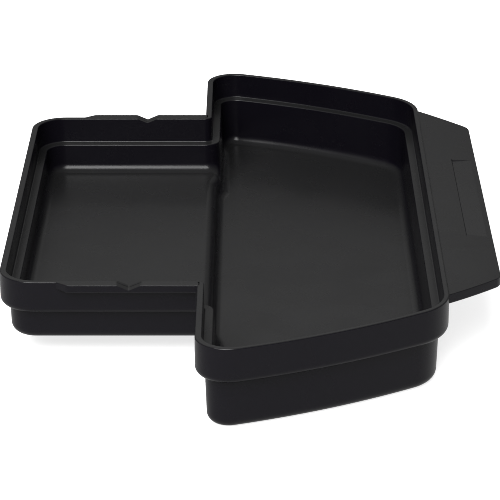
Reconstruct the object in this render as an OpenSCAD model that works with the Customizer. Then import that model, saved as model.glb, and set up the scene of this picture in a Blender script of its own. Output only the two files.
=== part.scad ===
// Storage caddy for tools: a shallow arm that opens into a deeper bay, as one moulded tub,
// with a guide lip along each long side of the arm and a grip plate on the far end of the bay.
// X runs from the arm to the grip plate, Y runs across, and Z = 0 is the surface it stands on.

/* [Arm compartment] */
// Length of the arm, from its end to the outer face of the bay's near wall
arm_len = 89.5; // [75:0.5:140]
// Width of the arm across its rim
arm_w = 225; // [180:1:280]
// Depth of the arm, from the rim to its underside
arm_depth = 29.5; // [26:0.5:34]
// Radius of the arm's two end corners, at the rim
arm_corner_r = 16.5; // [14:0.5:30]

/* [Bay] */
// Length of the bay between the outer faces of its end walls
bay_len = 111.5; // [90:0.5:150]
// Width of the bay at the arm's end, before its corners are rounded
bay_near_w = 381.5; // [350:0.5:440]
// Width of the bay at the plate's end, before its corners are rounded
bay_far_w = 276; // [250:1:340]
// Radius of the bay's bowed sides
bay_side_r = 355; // [300:5:900]
// Depth of the bay, from the rim to its underside
bay_depth = 39.5; // [36:0.5:60]
// Radius of the bay's near corners, at the rim
bay_near_r = 14.5; // [13.5:0.5:25]
// Radius of the bay's far corners, at the rim
bay_far_r = 25.5; // [14:0.5:40]

/* [Walls] */
// Thickness of the walls and of the rim
wall = 2.5; // [2:0.1:3.2]
// Thickness of the arm's end wall and of the bay's near walls
end_wall = 3.1; // [2:0.1:3.5]
// Thickness of the floors
floor_t = 2.4; // [2:0.1:3.2]
// Height of the bay's upright band below the rim, on the outside
bay_band_h = 16.8; // [15.5:0.1:18]
// Height of the arm's upright band below the rim, on the outside
arm_band_h = 15.6; // [14.5:0.1:17]
// Depth of the inner ledge below the rim
ledge_depth = 12.9; // [10:0.1:13.5]
// Step inwards from the band to the lower body
shoulder_w = 4.3; // [3.5:0.1:5.5]
// Radius of the band's lower outside edge
shoulder_r = 3.4; // [2:0.1:3.4]
// Slope of the lower body's walls, in degrees
draft = 2; // [0.5:0.1:3]
// Radius of the outside edge round each underside
bottom_r = 4.5; // [4:0.5:6]
// Radius of the inside edge round each floor
floor_r = 4.5; // [3:0.5:4.5]
// How far the step between the two floors stands back from the bay's near walls
step_back = 2.1; // [0.5:0.1:3]

/* [Guide lips] */
// How far each lip stands out from the arm's side
lip_w = 3.7; // [2.5:0.1:8]
// Height of each lip, down from the rim
lip_h = 3.8; // [3.8:0.1:6]
// Distance from the arm's end to where each lip starts
lip_start = 26.5; // [20:0.5:36]
// Length of the slanted start of each lip
lip_ramp = 5; // [3:0.5:10]
// Distance from the arm's end to the middle of the locating notch
notch_x = 59; // [50:0.5:66]
// Width of the locating notch at the rim
notch_w = 11.5; // [6:0.5:14]
// Depth of the locating notch
notch_d = 2.5; // [2:0.1:3.4]

/* [Grip plate] */
// How far the plate stands out from the bay's far wall
plate_len = 25; // [18:0.5:35]
// How much narrower each side of the plate is at its outer edge
plate_taper = 23.5; // [10:0.5:30]
// Distance from the bay's rounded corner to the plate's root, on each side
plate_setback = -0.3; // [-2:0.1:12]
// Depth of the plate's root below the rim
plate_drop = 0.8; // [0:0.1:4]
// How far the plate slopes down from its root to its outer edge
plate_fall = 1.3; // [0:0.1:3]
// Height of the plate's turned-down edge
plate_h = 4.7; // [3.8:0.1:6]
// Thickness of the plate and of its turned-down edge
plate_t = 2; // [1.6:0.1:2.4]
// Radius of the plate's outer corners
plate_r = 8; // [4:0.5:12]
// Length of the shallow finger recess in the plate
grip_len = 105; // [80:1:130]
// Width of the finger recess
grip_w = 9.5; // [5:0.5:10]
// Depth of the finger recess
grip_d = 0.6; // [0.3:0.1:0.8]
// Distance from the finger recess to the plate's outer edge
grip_edge = 2.5; // [2.5:0.5:6]
// Number of ribs under the plate
rib_count = 5; // [3:2:9]

/* [Joint between tub, lips and plate] */
// Height of each tongue above the underside of its lip or plate
tongue_up = 1; // [0.6:0.1:1.4]
// Height of the tongue on each lip and on the plate
tongue_h = 1.4; // [1:0.1:1.6]
// Length of the tongue into its groove
tongue_d = 0.9; // [0.5:0.1:1.1]
// Gap left round the tongue in its groove
tongue_gap = 0.1; // [0.05:0.05:0.2]

/* [Hidden] */

plastic = [0.17, 0.17, 0.18];
corner_steps = 12;
side_steps = 20;
round_steps = 5;
over = 1;

total_len = arm_len + bay_len + plate_len;
arm_x = -total_len / 2;
bay_x = arm_x + arm_len;
bay_end = bay_x + bay_len;
plate_end = bay_end + plate_len;
arm_y = arm_w / 2;
rim_z = bay_depth;
// How far the arm's solid and its hollow reach into the bay, past the bay's own wall
arm_reach = 2 * (wall + shoulder_w) + bottom_r + floor_r;

// Centre of the bowed side's arc, from its two ends and its radius
near_end = [bay_x, bay_near_w / 2];
far_end = [bay_end, bay_far_w / 2];
chord = far_end - near_end;
bow = sqrt(pow(bay_side_r, 2) - pow(norm(chord) / 2, 2));
side_c = (near_end + far_end) / 2 + bow * [chord.y, -chord.x] / norm(chord);
// Height at which a corner circle of radius r at x touches the bowed side from inside
function corner_y(x, r) = side_c.y + sqrt(pow(bay_side_r - r, 2) - pow(x - side_c.x, 2));
plate_root_y = corner_y(bay_end - bay_far_r, bay_far_r) - plate_setback;
plate_end_y = plate_root_y - plate_taper;
plate_top = rim_z - plate_drop;

function along_arc(c, r, a0, a1, n) =
    [for (i = [0 : n]) let (a = a0 + (a1 - a0) * i / n) c + r * [cos(a), sin(a)]];
function mirrored(pts) = [for (i = [len(pts) - 1 : -1 : 0]) [pts[i].x, -pts[i].y]];
function drop_first(pts) = [for (i = [1 : len(pts) - 1]) pts[i]];

// Half outline of the bay, from its near wall round to its far wall, drawn d inside the rim,
// with its near end moved in by e
function bay_half(d, e) =
    let (rn = bay_near_r - d, rf = bay_far_r - d, rs = bay_side_r - d,
         xn = bay_x + bay_near_r + e, xf = bay_end - bay_far_r,
         yn = corner_y(xn, bay_near_r), yf = corner_y(xf, bay_far_r),
         an = atan2(yn - side_c.y, xn - side_c.x), af = atan2(yf - side_c.y, xf - side_c.x))
    concat(along_arc([xn, yn], rn, 180, an, corner_steps),
           drop_first(along_arc(side_c, rs, an, af, side_steps)),
           drop_first(along_arc([xf, yf], rf, af, 0, corner_steps)));
function bay_outline(d, e) = concat(mirrored(bay_half(d, e)), bay_half(d, e));

// Outline of the arm, drawn d inside the rim, with its end moved in by e, and open into the bay
function arm_half(d, e) =
    concat(along_arc([arm_x + arm_corner_r + e, arm_y - arm_corner_r], arm_corner_r - d, 180, 90,
                     corner_steps),
           [[bay_x + arm_reach - d, arm_y - d]]);
function arm_outline(d, e) = concat(mirrored(arm_half(d, e)), arm_half(d, e));

// [distance inside the rim, height above the ground] down the outside and the inside
function turn(d, z, r) =
    [for (i = [1 : round_steps]) let (a = 90 * i / round_steps)
        [d + r * (1 - cos(a)), z - r * sin(a)]];
function outside(depth, band_h) =
    let (slope = tan(draft) * (depth - bottom_r - band_h))
    concat([[0, rim_z], [0, rim_z - band_h + shoulder_r]],
           turn(0, rim_z - band_h + shoulder_r, shoulder_r),
           [[shoulder_w, rim_z - band_h],
            [shoulder_w + slope, rim_z - depth + bottom_r]],
           turn(shoulder_w + slope, rim_z - depth + bottom_r, bottom_r));
function inner_slope(depth) = tan(draft) * (depth - floor_t - floor_r - ledge_depth);
function inside(depth) =
    let (low = rim_z - depth + floor_t, slope = inner_slope(depth))
    concat([[wall, rim_z + over], [wall, rim_z - ledge_depth],
            [wall + shoulder_w, rim_z - ledge_depth],
            [wall + shoulder_w + slope, low + floor_r]],
           turn(wall + shoulder_w + slope, low + floor_r, floor_r));

// Half width of the step between the floors, which ends short of the arm's rounded floor edges
step_y = arm_y - wall - shoulder_w - inner_slope(arm_depth) - 1.5 * floor_r;

// Solid through a stack of outlines with equal counts of points, from the top one down
module stack(outlines, heights) {
    n = len(outlines[0]);
    last = len(outlines) - 1;
    points = [for (k = [0 : last]) for (p = outlines[k]) [p.x, p.y, heights[k]]];
    walls = [for (k = [0 : last - 1]) for (i = [0 : n - 1]) let (j = (i + 1) % n)
        [k * n + j, k * n + i, (k + 1) * n + i, (k + 1) * n + j]];
    top = [for (i = [0 : n - 1]) i];
    bottom = [for (i = [n - 1 : -1 : 0]) last * n + i];
    polyhedron(points, concat([top, bottom], walls));
}
// Solids from a profile, with their ends towards the arm's end moved in by e
module bay_form(profile, e = 0)
    stack([for (p = profile) bay_outline(p[0], e)], [for (p = profile) p[1]]);
module arm_form(profile, e = 0)
    stack([for (p = profile) arm_outline(p[0], e)], [for (p = profile) p[1]]);

// Middle part of what it is given, set back and cut off at height z: the step between the floors
module set_back(half_width, z) {
    intersection() {
        translate([-step_back, 0, 0]) children();
        translate([bay_x - step_back, -half_width, -over])
            cube([bay_len / 2, 2 * half_width, z + over]);
    }
}

// V-shaped locating notch, cut right across both lips and the rim
module notch() {
    translate([arm_x + notch_x, arm_y + lip_w + over, rim_z])
        rotate([90, 0, 0])
            linear_extrude(arm_w + 2 * (lip_w + over))
                polygon([[-notch_w / 2 * (1 + over / notch_d), over], [0, -notch_d],
                         [notch_w / 2 * (1 + over / notch_d), over]]);
}

// Square bar on the outer face of a wall that faces +Y: a lip's tongue, or its groove
module lip_tongue(gap) {
    translate([arm_x + lip_start + lip_ramp - gap, arm_y - tongue_d - gap,
               rim_z - lip_h + tongue_up - gap])
        cube([arm_len - lip_start - 2 * lip_ramp + 2 * gap, tongue_d + 2 * gap,
              tongue_h + 2 * gap]);
}
module plate_tongue(gap) {
    translate([bay_end - tongue_d - gap, -plate_end_y - gap,
               plate_top - plate_h + tongue_up - gap])
        cube([tongue_d + 2 * gap, 2 * (plate_end_y + gap), tongue_h + 2 * gap]);
}

module tub() {
    color(plastic) difference() {
        union() {
            bay_form(outside(bay_depth, bay_band_h));
            arm_form(outside(arm_depth, arm_band_h));
            set_back(step_y + wall, rim_z - arm_depth + floor_t / 2)
                bay_form(outside(bay_depth, bay_band_h));
        }
        bay_form(inside(bay_depth), end_wall - wall);
        arm_form(inside(arm_depth), end_wall - wall);
        set_back(step_y, rim_z - arm_depth + floor_t + over)
            bay_form(inside(bay_depth), end_wall - wall);
        notch();
        for (s = [0, 1]) mirror([0, s, 0]) lip_tongue(tongue_gap);
        plate_tongue(tongue_gap);
    }
}

// Lip on the +Y side of the arm, from its slanted start to the bay's near wall
module lip() {
    color(plastic) difference() {
        union() {
            translate([0, 0, rim_z - lip_h])
                linear_extrude(lip_h)
                    polygon([[arm_x + lip_start, arm_y],
                             [arm_x + lip_start + lip_ramp, arm_y + lip_w],
                             [bay_x, arm_y + lip_w], [bay_x, arm_y]]);
            lip_tongue(0);
        }
        notch();
    }
}
module back_lip() lip();
module front_lip() mirror([0, 1, 0]) lip();

// Outline of the grip plate, drawn d inside its free edges
function plate_half(d) =
    let (edge_a = atan2(plate_len, plate_taper),
         corner_c = [plate_end - plate_r, plate_end_y - plate_r * tan(edge_a / 2)])
    concat([[bay_end + d, plate_root_y - d / sin(edge_a) - d / tan(edge_a)]],
           along_arc(corner_c, plate_r - d, edge_a, 0, corner_steps));
function plate_outline(d) = concat(mirrored(plate_half(d)), plate_half(d));

// Slopes what it is given down from the plate's root towards the plate's outer edge
module slope_down() {
    fall = plate_fall / plate_len;
    multmatrix([[1, 0, 0, 0], [0, 1, 0, 0], [-fall, 0, 1, fall * bay_end], [0, 0, 0, 1]])
        children();
}

module end_plate() {
    rib_gap = 2 * plate_end_y / (rib_count + 1);
    color(plastic) {
        slope_down() difference() {
            translate([0, 0, plate_top - plate_h])
                linear_extrude(plate_h) polygon(plate_outline(0));
            translate([0, 0, plate_top - plate_h - over])
                linear_extrude(plate_h - plate_t + over) polygon(plate_outline(plate_t));
            translate([plate_end - grip_edge - grip_w, -grip_len / 2, plate_top - grip_d])
                cube([grip_w, grip_len, grip_d + over]);
        }
        slope_down() for (i = [1 : rib_count])
            translate([bay_end + plate_t / 2, -plate_end_y + i * rib_gap - plate_t / 2,
                       plate_top - plate_h])
                cube([plate_len - plate_t, plate_t, plate_h - plate_t / 2]);
        plate_tongue(0);
    }
}

tub();
front_lip();
back_lip();
end_plate();
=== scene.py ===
"""Storage caddy for tools: the moulded tub, its guide lips and its grip plate.

X runs from the arm to the grip plate, Y runs across and Z = 0 is the ground. Sizes are in metres.
"""

from math import atan, atan2, cos, degrees, pi, radians, sin, sqrt, tan

import bmesh
import bpy
from bpy.props import FloatProperty, FloatVectorProperty, IntProperty, PointerProperty
from mathutils import Matrix, Vector


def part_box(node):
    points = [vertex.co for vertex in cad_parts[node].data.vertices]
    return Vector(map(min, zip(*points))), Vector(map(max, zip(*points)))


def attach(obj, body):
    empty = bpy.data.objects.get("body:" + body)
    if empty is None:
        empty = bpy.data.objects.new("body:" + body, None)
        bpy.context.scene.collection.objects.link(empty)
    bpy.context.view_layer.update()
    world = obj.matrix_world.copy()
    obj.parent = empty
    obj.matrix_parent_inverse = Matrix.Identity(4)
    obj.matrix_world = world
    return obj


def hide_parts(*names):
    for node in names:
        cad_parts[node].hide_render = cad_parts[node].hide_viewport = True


bl_info = {
    "name": "Tool storage caddy",
    "version": (1, 0, 0),
    "blender": (4, 5, 0),
    "location": "View3D > Sidebar > Caddy",
    "description": "Builds the tub, lips, grip plate and stage of a tool storage caddy",
    "category": "Add Mesh",
}

MM = 0.001

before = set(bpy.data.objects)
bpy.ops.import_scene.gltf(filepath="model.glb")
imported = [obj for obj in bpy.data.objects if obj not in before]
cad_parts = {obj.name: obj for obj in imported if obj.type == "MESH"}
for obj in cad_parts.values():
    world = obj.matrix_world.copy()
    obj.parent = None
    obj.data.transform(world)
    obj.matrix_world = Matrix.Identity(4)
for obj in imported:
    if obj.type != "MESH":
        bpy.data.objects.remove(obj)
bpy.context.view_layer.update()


TUB_LOW, TUB_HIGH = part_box("tub")
LIP_LOW, LIP_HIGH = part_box("back_lip")
PLATE_LOW, PLATE_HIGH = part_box("end_plate")
RIM = TUB_HIGH.z
ARM_END = TUB_LOW.x
BAY_END = TUB_HIGH.x
PLATE_END = PLATE_HIGH.x
LIP_BOTTOM = LIP_LOW.z
SINK = 0.3 * MM  # how far the plate's root runs into the wall


def length(name, description, default):
    """A size that isn't negative."""
    return FloatProperty(name=name, description=description, default=default, min=0,
                         subtype="DISTANCE", unit="LENGTH")


def angle(name, description, default):
    """An angle, kept in radians."""
    return FloatProperty(name=name, description=description, default=default,
                         subtype="ANGLE", unit="ROTATION")


def colour(name, description, default):
    """A linear colour."""
    return FloatVectorProperty(name=name, description=description, default=default, min=0, max=1,
                               size=3, subtype="COLOR")


def place(name, description, default):
    """A place in the scene."""
    return FloatVectorProperty(name=name, description=description, default=default, size=3,
                               subtype="TRANSLATION", unit="LENGTH")


def share(name, description, default, top=1.0):
    """A plain number from 0 up."""
    return FloatProperty(name=name, description=description, default=default, min=0, max=top)


def count(name, description, default):
    """A number of like pieces."""
    return IntProperty(name=name, description=description, default=default, min=1)


class TubSizes(bpy.types.PropertyGroup):
    """Sizes of the tub."""
    arm_length: length("Arm length", "From the arm's end to the bay's near wall", 89.5 * MM)
    arm_width: length("Arm width", "Width of the arm across its rim", 225 * MM)
    arm_depth: length("Arm depth", "From the rim to the arm's underside", 29.5 * MM)
    arm_corner: length("Arm corners", "Radius of the arm's end corners", 16.5 * MM)
    junction: length("Junction radius", "Radius outside where arm and bay meet", 1 * MM)
    bay_near_width: length("Bay near width", "Bay's width at the arm, corners not rounded",
                           381.5 * MM)
    bay_far_width: length("Bay far width", "Bay's width at the plate, corners not rounded",
                          276 * MM)
    side_radius: length("Side radius", "Radius of the bay's bowed sides", 355 * MM)
    near_corner: length("Near corners", "Radius of the bay's near corners", 14.5 * MM)
    far_corner: length("Far corners", "Radius of the bay's far corners", 25.5 * MM)
    wall: length("Wall", "Thickness of the walls and the rim", 2.5 * MM)
    end_wall: length("End wall", "Thickness of the walls that face along the arm", 3.1 * MM)
    floor: length("Floor", "Thickness of the floors", 2.4 * MM)
    bay_band: length("Bay band", "Height of the bay's upright band below the rim", 16.8 * MM)
    arm_band: length("Arm band", "Height of the arm's upright band below the rim", 15.6 * MM)
    ledge: length("Ledge depth", "From the rim down to the inner ledge", 12.9 * MM)
    shoulder: length("Shoulder width", "Step inwards from the band to the body", 4.3 * MM)
    shoulder_round: length("Shoulder radius", "Radius of the band's lower edge", 3.4 * MM)
    draft: angle("Draft", "Slope of the lower body's walls", radians(2))
    bottom_round: length("Bottom radius", "Outside radius round the underside", 4.5 * MM)
    floor_round: length("Floor radius", "Inside radius round the floors", 4.5 * MM)
    rim_round: length("Rim radius", "Radius of both edges of the rim", 0.6 * MM)
    ledge_round: length("Ledge radius", "Radius of the ledge's edge", 0.7 * MM)
    step_round: length("Step radius", "Radius of the edge between the two floors", 5.4 * MM)
    step_back: length("Step place", "How far the step stands back from the bay's near walls",
                      2.1 * MM)
    step_blend: length("Step blend", "Length over which the step curves back at its ends",
                       14 * MM)


class LipSizes(bpy.types.PropertyGroup):
    """Sizes of the two guide lips."""
    ramp: length("Ramp", "Length of the slanted start of each lip", 5 * MM)
    notch_place: length("Notch place", "From the arm's end to the notch's middle", 59 * MM)
    notch_width: length("Notch width", "Width of the notch at the rim", 11.5 * MM)
    notch_depth: length("Notch depth", "Depth of the notch", 2.5 * MM)
    notch_round: length("Notch radius", "Radius of the notch's corners", 1.2 * MM)
    edge_round: length("Edge radius", "Radius of the lips' top edges", 0.45 * MM)
    bottom_round: length("Bottom radius", "Radius of the lips' bottom edges", 0.8 * MM)
    ramp_round: length("Ramp radius", "Radius of the corner at the end of the ramp", 3 * MM)


class PlateSizes(bpy.types.PropertyGroup):
    """Sizes of the grip plate."""
    taper: length("Taper", "How much narrower each side is at the outer edge", 23.5 * MM)
    bulge: length("Bulge", "How far the slanted edges bow outwards", 0.5 * MM)
    fall: length("Fall", "How much lower the plate is at its outer edge", 1.3 * MM)
    thickness: length("Thickness", "Thickness of the plate and its turned-down edge", 2 * MM)
    corner: length("Corners", "Radius of the outer corners", 8 * MM)
    grip_length: length("Recess length", "Length of the finger recess", 105 * MM)
    grip_width: length("Recess width", "Width of the finger recess", 9.5 * MM)
    grip_depth: length("Recess depth", "Depth of the finger recess", 0.6 * MM)
    grip_slant: length("Recess slant", "Width of the recess's slanted inner side", 0.5 * MM)
    grip_ends: length("Recess ends", "Width of the recess's slanted ends", 2 * MM)
    grip_edge: length("Recess place", "From the recess to the outer edge", 2.5 * MM)
    edge_round: length("Edge radius", "Radius of the plate's top edge", 0.35 * MM)
    ribs: count("Ribs", "Number of ribs under the plate", 5)


class Finish(bpy.types.PropertyGroup):
    """Look of the moulded plastic."""
    plastic: colour("Plastic", "Colour of the plastic", (0.0038, 0.0032, 0.0056))
    # Painted top light: a lighter colour for the faces that look up stands in for light from
    # above, with a little settled dust in it.
    dust_and_top_light: colour("Dusty, top-lit plastic", "Colour of the faces that look up", (0.0158, 0.0158, 0.0162))
    roughness: share("Roughness", "Roughness of the grained faces", 0.26)
    specular: share("Specular", "Strength of the plastic's own shine", 0.3)
    grain: length("Grain", "Size of the moulded grain", 0.55 * MM)
    grain_depth: share("Grain depth", "Strength of the moulded grain", 0.16)


class Stage(bpy.types.PropertyGroup):
    """Floor, backdrop, lamps and camera."""
    ground: colour("Ground", "Colour of the floor and backdrop", (0.9, 0.9, 0.9))
    gap: length("Gap", "How far the floor lies below the tub", 0.2 * MM)
    focal: FloatProperty(name="Focal length", description="Focal length on a 36 mm sensor",
                         default=194.4, subtype="DISTANCE_CAMERA")
    pitch: angle("Camera pitch", "How far the camera looks down", radians(21.9))
    camera_place: place("Camera place", "Where the camera stands",
                        (0.00251, -1.22327, 0.50157))
    sideways: FloatProperty(name="Camera shift", description="Sideways shift of the view",
                            default=-0.0112)
    key: share("Key lamp", "Power of the lamp in front", 52.0, 500)
    key_place: place("Key place", "Where the lamp in front hangs", (-0.45, -1.32, 1.46))
    key_size: length("Key size", "Side of the lamp in front", 1.35)
    back: share("Back lamp", "Power of the lamp behind", 1.2, 100)
    back_place: place("Back place", "Where the lamp behind hangs", (-0.2, 1.1, 1.1))
    back_size: length("Back size", "Side of the lamp behind", 1.2)
    world: share("World light", "Strength of the light from all round", 0.3, 4)
    shine: share("Mirrored light", "Strength of the surroundings in the plastic's shine", 0.12, 4)
    sheen: share("Mirrored ground", "Strength of the ground in the plastic's shine", 0.5, 4)
    white: share("Ground white", "How white the camera sees the ground", 0.75, 4)


# ---------------------------------------------------------------- outlines and profiles

CORNER_STEPS = 20
SIDE_STEPS = 64
ROUND_STEPS = 8
EDGE_STEPS = 4
STEP_ROWS = 14
SKIM = 3  # degrees left of a quarter turn, so that one cut crosses another cleanly
OVER = 1 * MM  # how far a cut runs past what it cuts
CLEAR = 20 * MM  # how far a cut at the step runs on into the open bay
TINY = 0.01 * MM  # keeps faces of two cuts from lying in one plane
LEAD = 0.05  # share of the step's set-back by which its ends start on the other side
MERGE = 0.001 * MM  # points closer than this are one point
SLIVER = 0.02 * MM  # edges shorter than this are closed up after a cut
CREASE = radians(35)  # edges sharper than this stay sharp


def arc(centre, radius, start, end, steps):
    """Points along an arc, in degrees, from its start to its end."""
    turns = [radians(start + (end - start) * i / steps) for i in range(steps + 1)]
    return [(centre[0] + radius * cos(a), centre[1] + radius * sin(a)) for a in turns]


def both_halves(half):
    """The +Y half of an outline with its mirror image, going round once."""
    return [(x, -y) for x, y in reversed(half)] + half


def level(outline, z):
    """An outline laid flat at one height."""
    return [(x, y, z) for x, y in outline]


def eased(t):
    """Eases a share from 0 to 1, level at both ends."""
    return t * t * (3 - 2 * t)


def rounded(points, radii, steps=ROUND_STEPS):
    """An outline with its corners rounded, where a radius of 0 keeps a corner sharp."""
    outline = []
    for i, radius in enumerate(radii):
        corner = Vector(points[i])
        if not radius:
            outline.append(tuple(corner))
            continue
        back = (Vector(points[i - 1]) - corner).normalized()
        ahead = (Vector(points[(i + 1) % len(points)]) - corner).normalized()
        half = back.angle(ahead) / 2
        centre = corner + (back + ahead).normalized() * radius / sin(half)
        start = (corner + back * radius / tan(half) - centre).normalized()
        end = (corner + ahead * radius / tan(half) - centre).normalized()
        outline += [tuple(centre + radius * start.slerp(end, k / steps))
                    for k in range(steps + 1)]
    return outline


class TubShape:
    """The tub's outlines at any distance inside the rim, and the cuts at its step."""

    def __init__(self, s):
        self.s = s
        self.bay_near = ARM_END + s.arm_length
        self.near_wall = self.bay_near + s.end_wall - s.wall
        near = Vector((self.bay_near, s.bay_near_width / 2))
        far = Vector((BAY_END, s.bay_far_width / 2))
        chord = far - near
        bow = sqrt(s.side_radius ** 2 - (chord.length / 2) ** 2)
        self.side = (near + far) / 2 + bow * Vector((chord.y, -chord.x)) / chord.length

    def corner_y(self, x, radius):
        """Y of a corner circle at x that touches the bowed side from inside."""
        return self.side.y + sqrt((self.s.side_radius - radius) ** 2 - (x - self.side.x) ** 2)

    def bay(self, inset, moved):
        """The bay's outline, drawn inset inside the rim, with its near end moved in."""
        s = self.s
        near_x = self.bay_near + s.near_corner + moved
        far_x = BAY_END - s.far_corner
        near = (near_x, self.corner_y(near_x, s.near_corner))
        far = (far_x, self.corner_y(far_x, s.far_corner))
        near_turn = degrees(atan2(near[1] - self.side.y, near[0] - self.side.x))
        far_turn = degrees(atan2(far[1] - self.side.y, far[0] - self.side.x))
        return both_halves(
            arc(near, s.near_corner - inset, 180, near_turn, CORNER_STEPS)
            + arc(self.side, s.side_radius - inset, near_turn, far_turn, SIDE_STEPS)[1:]
            + arc(far, s.far_corner - inset, far_turn, 0, CORNER_STEPS)[1:])

    def arm(self, inset, moved, flared=True):
        """The arm's outline, left to run into the bay, and flared where it meets the bay."""
        s = self.s
        half = s.arm_width / 2
        reach = 2 * (s.wall + s.shoulder)
        last = arc((self.bay_near - s.junction + moved, half + s.junction), s.junction + inset,
                   -90, -SKIM, CORNER_STEPS)
        end = last[-1]
        # the flare goes through the bay's wall and ends well inside the bay
        last += [(end[0] + reach * sin(radians(SKIM)), end[1] + reach * cos(radians(SKIM))),
                 (end[0] + 4 * reach, end[1] + reach)]
        if not flared:
            last = [(x, half - inset) for x, _ in last]
        return both_halves(
            arc((ARM_END + s.arm_corner + moved, half - s.arm_corner), s.arm_corner - inset,
                180, 90, CORNER_STEPS) + last)

    def forms(self, profile):
        """Rings of the bay and of the arm for a profile of inset, height, shift and flare."""
        bay = [level(self.bay(inset, moved), z) for inset, z, moved, _ in profile[0]]
        arm = [level(self.arm(inset, moved, flared), z) for inset, z, moved, flared in profile[1]]
        return bay, arm

    def over_step(self):
        """Rings of the hollow that rolls over from the arm's floor down into the bay.

        Each ring is the arm's section below the ledge, grown outwards by a quarter turn whose
        radius goes from the junction's on the walls to the step's on the floor.
        """
        s = self.s
        half = s.arm_width / 2
        low = RIM - s.arm_depth + s.floor
        bay_fall = wall_slope(s, RIM - TUB_LOW.z)
        top = RIM - s.ledge - s.ledge_round
        bottom = TUB_LOW.z + s.floor + s.floor_round

        def bay_inset(z):
            return s.wall + s.shoulder + bay_fall * max(top - z, 0) / (top - bottom)

        # each row: inset, height, way it grows, radius of its turn, inset of the bay's wall if set
        rows = []
        edge = turn(s.wall + s.shoulder - s.ledge_round, RIM - s.ledge, s.ledge_round, EDGE_STEPS,
                    hollow=True)
        for inset, z in [(edge[0][0], RIM - s.ledge + OVER)] + edge:
            rows.append((inset, z, (1, 0), s.junction + inset, inset))
        lower = s.wall + s.shoulder + wall_slope(s, s.arm_depth)
        for i in range(ROUND_STEPS + 1):
            t = i / ROUND_STEPS
            out = (cos(t * pi / 2), -sin(t * pi / 2))
            centre = (lower + s.floor_round, low + s.floor_round)
            radius = (s.junction + lower) * (1 - eased(t)) + s.step_round * eased(t)
            rows.append((centre[0] - s.floor_round * out[0], centre[1] + s.floor_round * out[1],
                         out, radius, None))

        def ring(grown, along):
            """One ring, from how far each row has grown and where it stands along X."""
            points = []
            for inset, z, out, radius, own in rows:
                far = grown(radius)
                y, height = half - inset + far * out[0], z + far * out[1]
                wall = own if own is not None else bay_inset(height)
                points.append((along(radius, self.near_wall + wall), y, height))
            return [(x, -y, z) for x, y, z in reversed(points)] + points

        rings = [ring(lambda r: -OVER, lambda r, wall: self.bay_near - 3 * OVER)]
        for i in range(STEP_ROWS + 1):
            a = radians((90 - SKIM) * i / STEP_ROWS)
            rings.append(ring(lambda r: r * (1 - cos(a)) - TINY,
                              lambda r, wall: wall - r * (1 - sin(a))))
        a = radians(90 - SKIM)
        past = 0.6 * OVER  # how far the turn runs straight on past its end
        for along in (lambda r, wall: wall + (past * cos(a) - r * (1 - sin(a))),
                      lambda r, wall: self.bay_near + CLEAR):
            rings.append(ring(lambda r: r * (1 - cos(a)) + past * sin(a), along))
        return rings

    def step_end(self):
        """Y at which the arm's flat floor ends and its rounded edge starts."""
        s = self.s
        return (s.arm_width / 2 - s.wall - s.shoulder - wall_slope(s, s.arm_depth)
                - s.floor_round)

    def step_hollow(self):
        """Rings of the hollow that stands the step between the floors back in its middle."""
        s = self.s
        top = RIM - s.arm_depth + s.floor + TINY
        bottom = TUB_LOW.z + s.floor + TINY
        face = self.near_wall + s.wall + s.shoulder + wall_slope(s, RIM - TUB_LOW.z)
        half = []
        for i in range(STEP_ROWS + 1):
            t = i / STEP_ROWS
            back = (1 + LEAD) * eased(t) - LEAD
            half.append((self.step_end() - s.step_blend * t, face - s.step_back * back))
        rings = []
        for y, x in half + [(-y, x) for y, x in reversed(half)]:
            edge = arc((x - s.step_round, top - s.step_round), s.step_round, 90, 0, ROUND_STEPS)
            foot = arc((x + s.floor_round, bottom + s.floor_round), s.floor_round, 180, 270,
                       ROUND_STEPS)
            far = face + CLEAR
            side = [(far, top + OVER), (edge[0][0], top + OVER)] + edge + foot + [(far, bottom)]
            rings.append([(x, y, z) for x, z in side])
        return rings

    def step_shell(self):
        """Rings of the wall that stands outside the step, below the arm."""
        s = self.s
        bottom = TUB_LOW.z + TINY
        top = RIM - s.arm_depth + s.floor / 2
        lean = tan(s.draft)
        face = self.bay_near + s.shoulder - s.step_back
        low = face + lean * (RIM - s.bay_band - bottom - s.bottom_round)
        high = face + lean * (RIM - s.bay_band - top)
        foot = arc((low + s.bottom_round, bottom + s.bottom_round), s.bottom_round, 180, 270,
                   ROUND_STEPS)
        far = face + CLEAR / 2
        half = self.step_end() + s.wall
        side = [(far, top), (high, top)] + foot + [(far, bottom)]
        return [[(x, y, z) for x, z in side] for y in (half, -half)]


def turn(inset, height, radius, steps=ROUND_STEPS, hollow=False):
    """Quarter round of a profile: from a wall in to a floor, or from a ledge down to a wall."""
    turns = [pi / 2 * i / steps for i in range(steps + 1)]
    if hollow:
        return [(inset + radius * sin(a), height - radius * (1 - cos(a))) for a in turns]
    return [(inset + radius * (1 - cos(a)), height - radius * sin(a)) for a in turns]


def wall_slope(s, depth):
    """How far the lower wall leans in between the ledge and the floor's round."""
    return tan(s.draft) * (depth - s.floor - s.floor_round - s.ledge)


def outside(s, depth, band):
    """The outer profile, as distances inside the rim with their heights."""
    slope = tan(s.draft) * (depth - s.bottom_round - band)
    rim = turn(s.rim_round, RIM, s.rim_round, EDGE_STEPS, hollow=True)
    rim = [(2 * s.rim_round - inset, height) for inset, height in rim]
    points = (rim
              + turn(0, RIM - band + s.shoulder_round, s.shoulder_round)
              + [(s.shoulder, RIM - band)]
              + turn(s.shoulder + slope, RIM - depth + s.bottom_round, s.bottom_round))
    return [(inset, z, 0, True) for inset, z in points]


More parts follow.
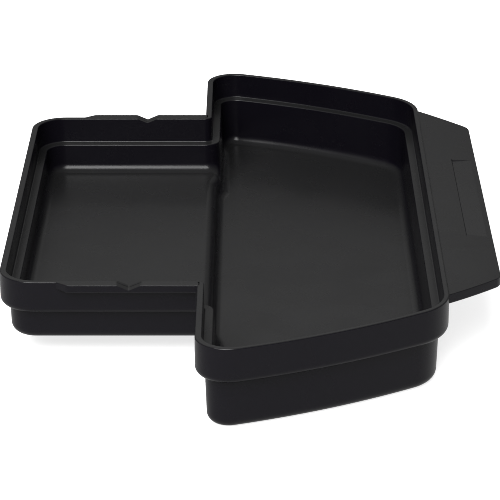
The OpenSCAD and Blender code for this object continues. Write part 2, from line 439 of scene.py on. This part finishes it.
def inside(s, depth):
    """The inner profile, starting above the rim, with thicker end walls."""
    ledge = RIM - s.ledge
    low = RIM - depth + s.floor
    moved = s.end_wall - s.wall
    rim = turn(s.wall - s.rim_round, RIM, s.rim_round, EDGE_STEPS, hollow=True)
    root = turn(s.wall, ledge + s.ledge_round, s.ledge_round, EDGE_STEPS)
    edge = turn(s.wall + s.shoulder - s.ledge_round, ledge, s.ledge_round, EDGE_STEPS,
                hollow=True)
    upper = [(s.wall - s.rim_round, RIM + OVER)] + rim + root
    lower = edge + turn(s.wall + s.shoulder + wall_slope(s, depth), low + s.floor_round,
                        s.floor_round)
    return ([(inset, z, moved, True) for inset, z in upper]
            + [(inset, z, moved, False) for inset, z in lower])


# ---------------------------------------------------------------- mesh making


def new_object(name, mesh):
    """A piece in the scene whose object sits at the origin."""
    piece = bpy.data.objects.new(name, mesh)
    bpy.context.scene.collection.objects.link(piece)
    return piece


def mesh_from(name, bm):
    """Mesh of a bmesh, with doubles merged and every face pointing outwards."""
    bmesh.ops.remove_doubles(bm, verts=bm.verts, dist=MERGE)
    bmesh.ops.recalc_face_normals(bm, faces=bm.faces)
    mesh = bpy.data.meshes.new(name)
    bm.to_mesh(mesh)
    bm.free()
    return mesh


def loft(name, rings):
    """Closed solid through a stack of rings that have equal counts of points."""
    bm = bmesh.new()
    rings = [[bm.verts.new(point) for point in ring] for ring in rings]
    for upper, lower in zip(rings, rings[1:]):
        for i in range(len(upper)):
            j = (i + 1) % len(upper)
            bm.faces.new((upper[i], upper[j], lower[j], lower[i]))
    bm.faces.new(rings[0])
    bm.faces.new(list(reversed(rings[-1])))
    return new_object(name, mesh_from(name, bm))


def evaluated(piece):
    """Replaces a piece's mesh by the result of its modifiers, and removes them."""
    depsgraph = bpy.context.evaluated_depsgraph_get()
    mesh = bpy.data.meshes.new_from_object(piece.evaluated_get(depsgraph))
    piece.modifiers.clear()
    piece.data = mesh
    return piece


def combine(piece, others, operation):
    """Unites or cuts a piece with others, which are used up."""
    for other in others:
        step = piece.modifiers.new(operation.lower(), "BOOLEAN")
        step.operation = operation
        step.solver = "EXACT"
        step.object = other
        evaluated(piece)
        bpy.data.objects.remove(other)
    return piece


def tidy_mesh(piece):
    """Merges slivers that a cut leaves behind."""
    bm = bmesh.new()
    bm.from_mesh(piece.data)
    bmesh.ops.remove_doubles(bm, verts=bm.verts, dist=SLIVER)
    bmesh.ops.dissolve_degenerate(bm, edges=bm.edges, dist=SLIVER)
    bm.to_mesh(piece.data)
    bm.free()


def smooth(piece):
    """Shades a piece smoothly, with flat faces kept flat, and leaves a plain mesh."""
    piece.data.shade_smooth()
    piece.data.set_sharp_from_angle(angle=CREASE)
    weighted = piece.modifiers.new("weighted", "WEIGHTED_NORMAL")
    weighted.keep_sharp = True
    evaluated(piece)


def notch_wedge(sizes):
    """V-shaped bar across the arm, which cuts the locating notch with its corners rounded."""
    middle = ARM_END + sizes.notch_place
    half = sizes.notch_width / 2
    reach = LIP_HIGH.y + OVER
    mouth_round = 3 * sizes.notch_round
    side = rounded([(middle - 2 * half, RIM + OVER), (middle - 2 * half, RIM),
                    (middle - half, RIM), (middle, RIM - sizes.notch_depth),
                    (middle + half, RIM), (middle + 2 * half, RIM),
                    (middle + 2 * half, RIM + OVER)],
                   [0, 0, mouth_round, sizes.notch_round, mouth_round, 0, 0])
    side = [(x, z + TINY) for x, z in side]
    return loft("notch_wedge", [[(x, y, z) for x, z in side] for y in (-reach, reach)])


def finished(piece, material, node):
    """Gives a piece its plastic, hangs it under the root body and hides the CAD node it takes the
    place of.
    """
    piece.data.materials.clear()
    piece.data.materials.append(material)
    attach(piece, "root")
    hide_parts(node)


# ---------------------------------------------------------------- plastic

GRAIN_HEIGHT = 0.1 * MM
HANDLING_WAVES = 28  # waves of worn and dull patches in a metre
NOISE_LOW, NOISE_HIGH = 0.3, 0.7  # between these lie nearly all values of a noise
WORN = 0.04  # how much smoother a worn patch is
DULL = 0.06  # how much rougher a dull patch is
DUST_AND_TOP_LIGHT_STARTS = 0.3  # upward share of a face's direction from which painted top light, with some settled dust, makes it lighter


def noise(nodes, scale, detail):
    """Noise whose scale is a count of waves in a metre."""
    node = nodes.new("ShaderNodeTexNoise")
    node.inputs["Scale"].default_value = scale
    node.inputs["Detail"].default_value = detail
    return node


def plastic(name, finish):
    """Satin black moulded plastic with a fine grain, and painted top light with some settled dust:
    a lighter colour on the faces that look up.
    """
    material = bpy.data.materials.new(name)
    material.use_nodes = True
    nodes = material.node_tree.nodes
    link = material.node_tree.links.new
    shader = nodes["Principled BSDF"]
    shader.inputs["Specular IOR Level"].default_value = finish.specular
    where = nodes.new("ShaderNodeTexCoord")

    grain = noise(nodes, 1 / finish.grain, 3)
    link(where.outputs["Object"], grain.inputs["Vector"])
    bump = nodes.new("ShaderNodeBump")
    bump.inputs["Strength"].default_value = finish.grain_depth
    bump.inputs["Distance"].default_value = GRAIN_HEIGHT
    link(grain.outputs["Fac"], bump.inputs["Height"])
    link(bump.outputs["Normal"], shader.inputs["Normal"])

    handling = noise(nodes, HANDLING_WAVES, 5)
    link(where.outputs["Object"], handling.inputs["Vector"])
    rough = nodes.new("ShaderNodeMapRange")
    rough.inputs["From Min"].default_value = NOISE_LOW
    rough.inputs["From Max"].default_value = NOISE_HIGH
    rough.inputs["To Min"].default_value = finish.roughness - WORN
    rough.inputs["To Max"].default_value = finish.roughness + DULL
    link(handling.outputs["Fac"], rough.inputs["Value"])
    link(rough.outputs["Result"], shader.inputs["Roughness"])

    # Painted top light with some settled dust: the more a face looks up, the lighter its colour.
    facing = nodes.new("ShaderNodeSeparateXYZ")
    link(where.outputs["Normal"], facing.inputs["Vector"])
    dust_and_top_light_mask = nodes.new("ShaderNodeMapRange")
    dust_and_top_light_mask.interpolation_type = "SMOOTHSTEP"
    dust_and_top_light_mask.inputs["From Min"].default_value = DUST_AND_TOP_LIGHT_STARTS
    link(facing.outputs["Z"], dust_and_top_light_mask.inputs["Value"])
    tone = nodes.new("ShaderNodeMix")
    tone.data_type = "RGBA"
    tone.inputs["A"].default_value = (*finish.plastic, 1)
    tone.inputs["B"].default_value = (*finish.dust_and_top_light, 1)
    link(dust_and_top_light_mask.outputs["Result"], tone.inputs["Factor"])
    link(tone.outputs["Result"], shader.inputs["Base Color"])
    return material


# ---------------------------------------------------------------- operators


def settings():
    """The caddy's sizes and looks in this scene."""
    return bpy.context.scene.caddy


class CADDY_OT_tub(bpy.types.Operator):
    """Moulds the tub with its rim, ledge, shoulder and two floors"""
    bl_idname = "caddy.tub"
    bl_label = "Tub"

    def execute(self, context):
        s = settings().tub
        shape = TubShape(s)
        bay_depth = RIM - TUB_LOW.z
        shell, arm_shell = shape.forms((outside(s, bay_depth, s.bay_band),
                                        outside(s, s.arm_depth, s.arm_band)))
        hollow, arm_hollow = shape.forms((inside(s, bay_depth), inside(s, s.arm_depth)))
        tub = loft("tub_shell", shell)
        combine(tub, [loft("arm_shell", arm_shell), loft("step_shell", shape.step_shell())],
                "UNION")
        combine(tub, [loft("bay_hollow", hollow), loft("arm_hollow", arm_hollow),
                      loft("over_step", shape.over_step()),
                      loft("step_hollow", shape.step_hollow()), notch_wedge(settings().lips)],
                "DIFFERENCE")
        tidy_mesh(tub)
        smooth(tub)
        finished(tub, plastic("tub_plastic_grained", settings().finish), "tub")
        return {"FINISHED"}


class CADDY_OT_lips(bpy.types.Operator):
    """Adds the two guide lips along the arm, with their slanted starts and notches"""
    bl_idname = "caddy.lips"
    bl_label = "Guide lips"

    def execute(self, context):
        s = settings().lips
        material = plastic("lip_plastic_grained", settings().finish)
        for node, side in (("back_lip", 1), ("front_lip", -1)):
            rings = [[(x, side * y, z) for x, y in self.outline(s, inset)]
                     for inset, z in self.profile(s)]
            lip = loft(node + "_rail", rings)
            combine(lip, [notch_wedge(s)], "DIFFERENCE")
            tidy_mesh(lip)
            smooth(lip)
            finished(lip, material, node)
        return {"FINISHED"}

    def outline(self, s, inset):
        """The back lip from above, drawn inset inside its free edges."""
        tub = settings().tub
        edge = tub.arm_width / 2
        wide = LIP_HIGH.y - edge
        slant = sqrt(s.ramp ** 2 + wide ** 2)

        def on_ramp(y):
            """Point of the slanted start at a distance from the arm's middle."""
            return (LIP_LOW.x + (s.ramp * (y - edge) + inset * slant) / wide, y)

        return rounded([on_ramp(edge - tub.rim_round), on_ramp(edge + wide - inset),
                        (LIP_HIGH.x + OVER, edge + wide - inset),
                        (LIP_HIGH.x + OVER, edge - tub.rim_round)],
                       [0, s.ramp_round - inset, 0, 0])

    def profile(self, s):
        """The lip's outer face from top to bottom, as insets with their heights."""
        top = turn(s.edge_round, 0, s.edge_round, EDGE_STEPS, hollow=True)
        return ([(2 * s.edge_round - inset, RIM + z) for inset, z in top]
                + turn(0, LIP_BOTTOM + s.bottom_round, s.bottom_round, EDGE_STEPS))


class CADDY_OT_plate(bpy.types.Operator):
    """Adds the sloping grip plate with its finger recess and the ribs below it"""
    bl_idname = "caddy.plate"
    bl_label = "Grip plate"

    def execute(self, context):
        s = settings().plate
        self.s = s
        self.fall = s.fall / (PLATE_END - BAY_END)
        high = PLATE_HIGH.z - PLATE_LOW.z - s.fall
        foot = s.thickness / 2
        top = turn(s.edge_round, 0, s.edge_round, EDGE_STEPS, hollow=True)
        rings = [self.ring(2 * s.edge_round - inset, -SINK, -z) for inset, z in top]
        rings += [self.ring(inset, -SINK, high - foot - z)
                  for inset, z in turn(0, 0, foot, EDGE_STEPS)]
        rings += [self.ring(s.thickness - inset, s.thickness - inset, high - foot - z)
                  for inset, z in reversed(turn(0, 0, foot, EDGE_STEPS))]
        rings.append(self.ring(s.thickness, s.thickness, s.thickness))
        plate = loft("grip_plate", rings)
        combine(plate, [self.recess()], "DIFFERENCE")
        tidy_mesh(plate)
        smooth(plate)
        material = plastic("plate_plastic_grained", settings().finish)
        finished(plate, material, "end_plate")

        ribs = self.ribs(high, material)
        finished(ribs, material, "end_plate")
        return {"FINISHED"}

    def place(self, x, y, depth):
        """A point at a depth below the plate's sloping top."""
        return (x, y, PLATE_HIGH.z - self.fall * (x - BAY_END) - depth)

    def ring(self, inset, root, depth):
        """The plate's outline inset inside its free edges, with its root away from the wall."""
        s = self.s
        near = Vector((BAY_END, PLATE_HIGH.y))
        far = Vector((PLATE_END, PLATE_HIGH.y - s.taper))
        chord = far - near
        radius = (chord.length ** 2 / 4 + s.bulge ** 2) / (2 * s.bulge)
        centre = (near + far) / 2 + (radius - s.bulge) * Vector((chord.y, -chord.x)).normalized()
        corner_x = PLATE_END - s.corner
        corner = (corner_x, centre.y + sqrt((radius - s.corner) ** 2 - (corner_x - centre.x) ** 2))
        meet = degrees(atan2(corner[1] - centre.y, corner[0] - centre.x))
        reach = sqrt((radius - inset) ** 2 - (BAY_END + root - centre.x) ** 2)
        start = degrees(atan2(reach, BAY_END + root - centre.x))
        half = (arc(centre, radius - inset, start, meet, ROUND_STEPS)
                + arc(corner, s.corner - inset, meet, 0, CORNER_STEPS)[1:])
        return [self.place(x, y, depth) for x, y in both_halves(half)]

    def recess(self):
        """Wedge that cuts the finger recess: deepest beside its slanted inner side."""
        s = self.s
        outer = PLATE_END - s.grip_edge
        inner = outer - s.grip_width
        rings = []
        for x, depth in ((inner - s.grip_slant / 2, -TINY),
                         (inner + s.grip_slant / 2, s.grip_depth),
                         (outer, 0.1 * s.grip_depth)):
            half = s.grip_length / 2 - s.grip_ends * depth / s.grip_depth
            rings.append([self.place(x, -s.grip_length / 2, -OVER),
                          self.place(x, s.grip_length / 2, -OVER),
                          self.place(x, half, depth), self.place(x, -half, depth)])
        return loft("recess", rings)

    def ribs(self, high, material):
        """The ribs under the plate, as one mesh."""
        s = self.s
        ribs = new_object("plate_ribs", bpy.data.meshes.new("plate_ribs"))
        tree = rib_tree()
        sockets = {item.name: item.identifier for item in tree.interface.items_tree
                   if item.item_type == "SOCKET" and item.in_out == "INPUT"}
        wide = PLATE_HIGH.y - s.taper
        long = PLATE_END - BAY_END - 1.5 * s.thickness
        tall = high - 1.5 * s.thickness
        middle = self.place(BAY_END + s.thickness / 2 + long / 2, 0,
                            s.thickness + tall / 2 - s.thickness / 4)
        values = {"Count": s.ribs, "Width": 2 * wide, "Middle": middle,
                  "Size": (long, s.thickness, tall + s.thickness / 2),
                  "Slope": atan(self.fall), "Material": material}
        step = ribs.modifiers.new("ribs", "NODES")
        step.node_group = tree
        for name, value in values.items():
            step[sockets[name]] = value
        return evaluated(ribs)


def rib_tree():
    """Tree that sets a row of equal bars across the plate, all at the plate's slope."""
    tree = bpy.data.node_groups.new("rib_row", "GeometryNodeTree")
    add = tree.interface.new_socket
    add("Geometry", in_out="OUTPUT", socket_type="NodeSocketGeometry")
    for name, kind in (("Count", "NodeSocketInt"), ("Width", "NodeSocketFloat"),
                       ("Middle", "NodeSocketVector"), ("Size", "NodeSocketVector"),
                       ("Slope", "NodeSocketFloat"), ("Material", "NodeSocketMaterial")):
        add(name, in_out="INPUT", socket_type=kind)
    new = tree.nodes.new
    link = tree.links.new
    given = new("NodeGroupInput").outputs
    shown = new("NodeGroupOutput")

    def maths(operation, first, second):
        """Output of one sum, from sockets or plain numbers."""
        node = new("ShaderNodeMath")
        node.operation = operation
        for socket, value in zip(node.inputs, (first, second)):
            if isinstance(value, (int, float)):
                socket.default_value = value
            else:
                link(value, socket)
        return node.outputs[0]

    gap = maths("DIVIDE", given["Width"], maths("ADD", given["Count"], 1))
    first = maths("MULTIPLY", maths("MULTIPLY", gap, maths("SUBTRACT", given["Count"], 1)), -0.5)
    step = new("ShaderNodeCombineXYZ")
    link(gap, step.inputs["Y"])
    offset = new("ShaderNodeCombineXYZ")
    link(first, offset.inputs["Y"])
    start = new("ShaderNodeVectorMath")
    link(given["Middle"], start.inputs[0])
    link(offset.outputs[0], start.inputs[1])

    line = new("GeometryNodeMeshLine")
    link(given["Count"], line.inputs["Count"])
    link(start.outputs[0], line.inputs["Start Location"])
    link(step.outputs[0], line.inputs["Offset"])
    bar = new("GeometryNodeMeshCube")
    link(given["Size"], bar.inputs["Size"])
    tilt = new("ShaderNodeCombineXYZ")
    link(given["Slope"], tilt.inputs["Y"])
    row = new("GeometryNodeInstanceOnPoints")
    link(line.outputs["Mesh"], row.inputs["Points"])
    link(bar.outputs["Mesh"], row.inputs["Instance"])
    link(tilt.outputs[0], row.inputs["Rotation"])
    real = new("GeometryNodeRealizeInstances")
    link(row.outputs["Instances"], real.inputs["Geometry"])
    painted = new("GeometryNodeSetMaterial")
    link(real.outputs["Geometry"], painted.inputs["Geometry"])
    link(given["Material"], painted.inputs["Material"])
    link(painted.outputs["Geometry"], shown.inputs["Geometry"])
    return tree


PIXEL_FILTER = 0.9  # softness of the picture's edges, in pixels
GROUND_REACH = 6  # from the object to the ground's edge
SENSOR = 36  # width in millimetres that the focal length belongs to


class CADDY_OT_stage(bpy.types.Operator):
    """Sets up the floor, backdrop, lamps and camera"""
    bl_idname = "caddy.stage"
    bl_label = "Stage"

    def execute(self, context):
        s = settings().stage
        scene = context.scene
        scene.view_settings.view_transform = "Standard"
        scene.cycles.filter_width = PIXEL_FILTER

        bm = bmesh.new()
        bmesh.ops.create_grid(bm, x_segments=1, y_segments=1, size=GROUND_REACH)
        ground = new_object("ground", mesh_from("ground", bm))
        ground.data.transform(Matrix.Translation((0, 0, -s.gap)))
        ground.data.materials.append(self.ground_material(s))

        scene.world = bpy.data.worlds.new("studio")
        scene.world.use_nodes = True
        self.light_world(scene.world.node_tree, s)

        self.lamp("key", s.key_place, s.key_size, s.key)
        self.lamp("back", s.back_place, s.back_size, s.back)

        data = bpy.data.cameras.new("camera")
        data.lens = s.focal
        data.sensor_width = SENSOR
        data.shift_x = s.sideways
        data.clip_start = 0.05
        camera = bpy.data.objects.new("camera", data)
        camera.location = s.camera_place
        camera.rotation_euler = (pi / 2 - s.pitch, 0, 0)
        scene.collection.objects.link(camera)
        scene.camera = camera
        return {"FINISHED"}

    def ground_material(self, s):
        """Pale ground that the camera sees as white, with the object's shadow on it."""
        material = bpy.data.materials.new("ground_pale")
        material.use_nodes = True
        nodes = material.node_tree.nodes
        link = material.node_tree.links.new
        shader = nodes["Principled BSDF"]
        shader.inputs["Roughness"].default_value = 0.9
        shader.inputs["Specular IOR Level"].default_value = 0
        shader.inputs["Emission Color"].default_value = (1, 1, 1, 1)
        path = nodes.new("ShaderNodeLightPath")

        seen = nodes.new("ShaderNodeMath")
        seen.operation = "MULTIPLY"
        seen.inputs[1].default_value = s.white
        link(path.outputs["Is Camera Ray"], seen.inputs[0])
        mirrored = nodes.new("ShaderNodeMath")
        mirrored.operation = "MULTIPLY_ADD"
        mirrored.inputs[1].default_value = s.sheen
        link(path.outputs["Is Glossy Ray"], mirrored.inputs[0])
        link(seen.outputs[0], mirrored.inputs[2])
        link(mirrored.outputs[0], shader.inputs["Emission Strength"])

        lit = nodes.new("ShaderNodeMix")
        lit.data_type = "RGBA"
        lit.inputs["A"].default_value = (*s.ground, 1)
        lit.inputs["B"].default_value = (0, 0, 0, 1)
        link(path.outputs["Is Glossy Ray"], lit.inputs["Factor"])
        link(lit.outputs["Result"], shader.inputs["Base Color"])
        return material

    def light_world(self, tree, s):
        """White for the camera, dim in the plastic's shine, and a plain soft light otherwise."""
        light = tree.nodes["Background"]
        light.inputs["Color"].default_value = (1, 1, 1, 1)
        path = tree.nodes.new("ShaderNodeLightPath")
        mirrored = tree.nodes.new("ShaderNodeMix")
        mirrored.inputs["A"].default_value = s.world
        mirrored.inputs["B"].default_value = s.shine
        tree.links.new(path.outputs["Is Glossy Ray"], mirrored.inputs["Factor"])
        seen = tree.nodes.new("ShaderNodeMix")
        seen.inputs["B"].default_value = 1
        tree.links.new(path.outputs["Is Camera Ray"], seen.inputs["Factor"])
        tree.links.new(mirrored.outputs["Result"], seen.inputs["A"])
        tree.links.new(seen.outputs["Result"], light.inputs["Strength"])

    def lamp(self, name, place, size, power):
        """Square lamp that faces the object."""
        data = bpy.data.lights.new(name, "AREA")
        data.size = size
        data.energy = power
        lamp = bpy.data.objects.new(name, data)
        lamp.location = place
        lamp.rotation_euler = (-Vector(place)).to_track_quat("-Z", "Y").to_euler()
        bpy.context.scene.collection.objects.link(lamp)


class CaddySettings(bpy.types.PropertyGroup):
    """Everything that can be set on the caddy."""
    tub: PointerProperty(type=TubSizes)
    lips: PointerProperty(type=LipSizes)
    plate: PointerProperty(type=PlateSizes)
    finish: PointerProperty(type=Finish)
    stage: PointerProperty(type=Stage)


class CADDY_PT_panel(bpy.types.Panel):
    """Lists the caddy's pieces and settings"""
    bl_idname = "CADDY_PT_panel"
    bl_label = "Tool storage caddy"
    bl_space_type = "VIEW_3D"
    bl_region_type = "UI"
    bl_category = "Caddy"

    def draw(self, context):
        layout = self.layout
        for operator in OPERATORS:
            layout.operator(operator.bl_idname)
        for group in (settings().tub, settings().lips, settings().plate, settings().finish,
                      settings().stage):
            box = layout.box()
            for name in group.bl_rna.properties.keys():
                if name not in ("rna_type", "name"):
                    box.prop(group, name)


OPERATORS = (CADDY_OT_tub, CADDY_OT_lips, CADDY_OT_plate, CADDY_OT_stage)
CLASSES = (TubSizes, LipSizes, PlateSizes, Finish, Stage, CaddySettings, *OPERATORS,
           CADDY_PT_panel)


def register():
    """Adds the classes and the caddy's settings."""
    for cls in CLASSES:
        bpy.utils.register_class(cls)
    bpy.types.Scene.caddy = PointerProperty(type=CaddySettings)


def unregister():
    """Takes the settings and the classes away again."""
    del bpy.types.Scene.caddy
    for cls in reversed(CLASSES):
        bpy.utils.unregister_class(cls)


def main():
    """Builds the caddy and its stage."""
    register()
    bpy.ops.caddy.tub()
    bpy.ops.caddy.lips()
    bpy.ops.caddy.plate()
    bpy.ops.caddy.stage()


if __name__ == "__main__":
    main()
